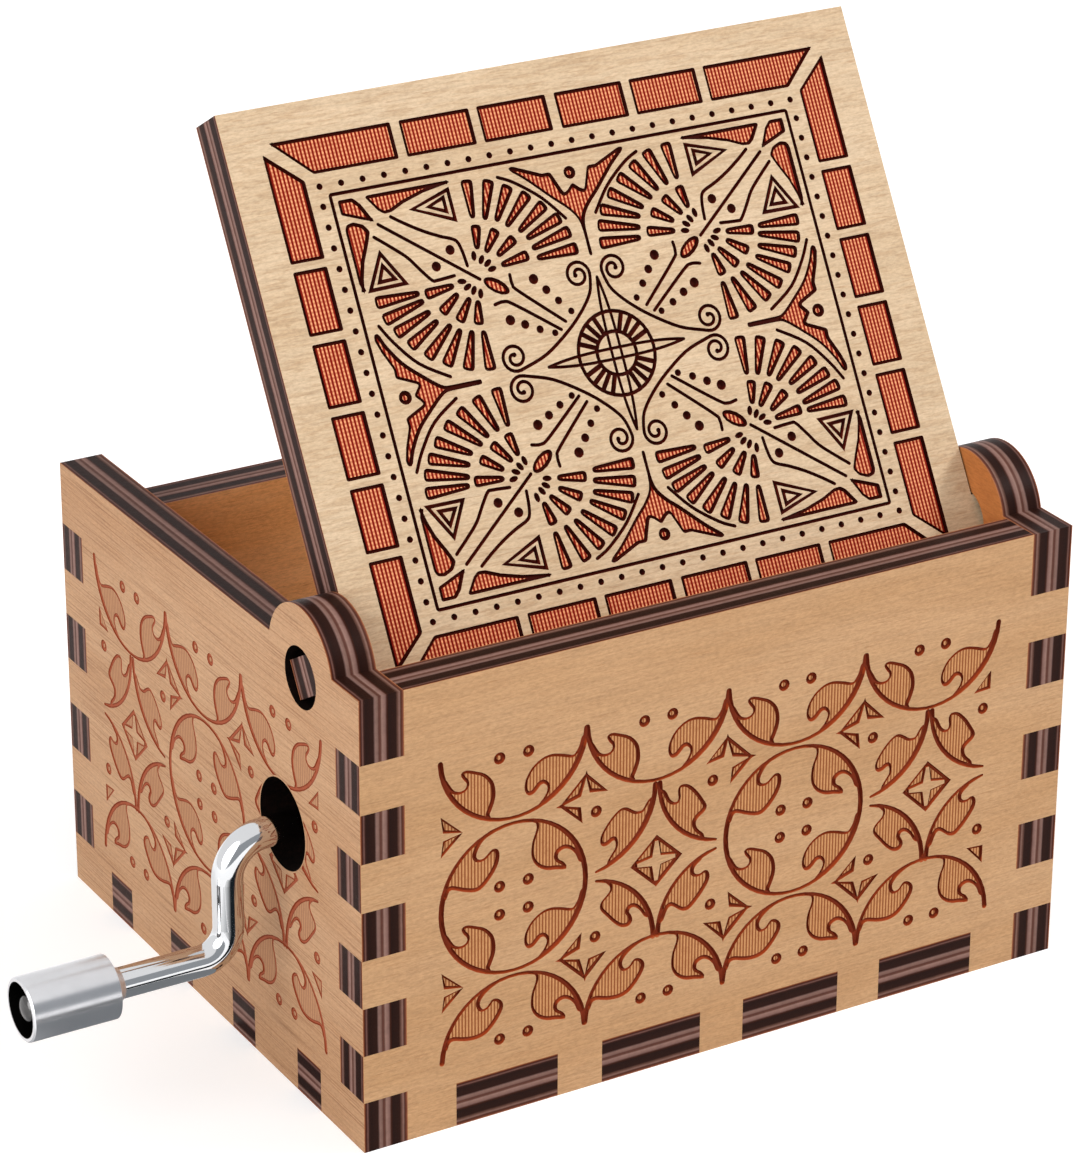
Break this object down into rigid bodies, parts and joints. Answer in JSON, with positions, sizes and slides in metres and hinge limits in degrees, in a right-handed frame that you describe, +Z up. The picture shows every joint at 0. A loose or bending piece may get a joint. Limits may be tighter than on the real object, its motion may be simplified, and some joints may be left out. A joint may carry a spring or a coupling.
{
  "type": "hand-cranked music box",
  "caption": "Small finger-jointed plywood box with a hinged lid; a bent crank turns a worm that drives a pinned drum past a steel comb.",
  "frame": {"origin": "middle of the case's underside, on the surface it stands on", "axes": "+X along the long walls away from the crank, -Y towards the wall beside the lid's hinge, +Z up"},
  "size_m": [0.0862, 0.0514, 0.0736],
  "materials": {
    "case_ply": "laser-cut basswood plywood, tan faces, charred dark edges, engraved scrollwork",
    "lid_ply": "laser-cut basswood plywood, paler face with engraved ornament",
    "crank_chrome": "bright polished plating",
    "knob_steel": "satin turned steel",
    "spindle_steel": "machined steel",
    "bearing_steel": "nickel-plated sheet steel",
    "bedplate_gold": "brass-plated casting, satin",
    "comb_steel": "ground spring steel",
    "weight_lead": "dull grey lead",
    "drum_brass": "turned brass",
    "pin_steel": "ground steel pins",
    "wheel_brass": "cut brass teeth"
  },
  "bodies": {
    "case": {"hinge_wall": "case_ply", "front_wall": "case_ply", "crank_wall": "case_ply", "end_wall": "case_ply", "floor_board": "case_ply", "bedplate": "bedplate_gold", "tuned_comb": "comb_steel", "bass_weights": "weight_lead", "front_drum_bearing": "bearing_steel", "rear_drum_bearing": "bearing_steel", "outer_crank_bearing": "bearing_steel", "inner_crank_bearing": "bearing_steel"},
    "lid": {"lid": "lid_ply"},
    "crank": {"crank_handle": "crank_chrome", "worm_spindle": "spindle_steel", "spindle_clip": "spindle_steel"},
    "knob": {"crank_knob": "knob_steel"},
    "drum": {"drum_tube": "drum_brass", "drum_pins": "pin_steel", "drum_arbor": "spindle_steel", "drum_end_cap": "drum_brass", "worm_wheel": "wheel_brass"}
  },
  "joints": [
    {"name": "lid_hinge", "type": "hinge", "parent": "case", "child": "lid", "pos_m": [0, -0.01655, 0.0362], "axis": [1, 0, 0], "range_deg": [-59.5, 81]},
    {"name": "crank_spin", "type": "hinge", "parent": "case", "child": "crank", "pos_m": [-0.032, -0.0131, 0.02215], "axis": [1, 0, 0], "continuous": true},
    {"name": "drum_spin", "type": "hinge", "parent": "case", "child": "drum", "pos_m": [-0.01, 0, 0.01415], "axis": [0, 1, 0], "continuous": true},
    {"name": "knob_spin", "type": "hinge", "parent": "crank", "child": "knob", "pos_m": [-0.0506, -0.0131, 0.01255], "axis": [1, 0, 0], "continuous": true}
  ],
  "couplings": [
    {"joint": "drum_spin", "follows": "crank_spin", "ratio": -0.05}
  ]
}
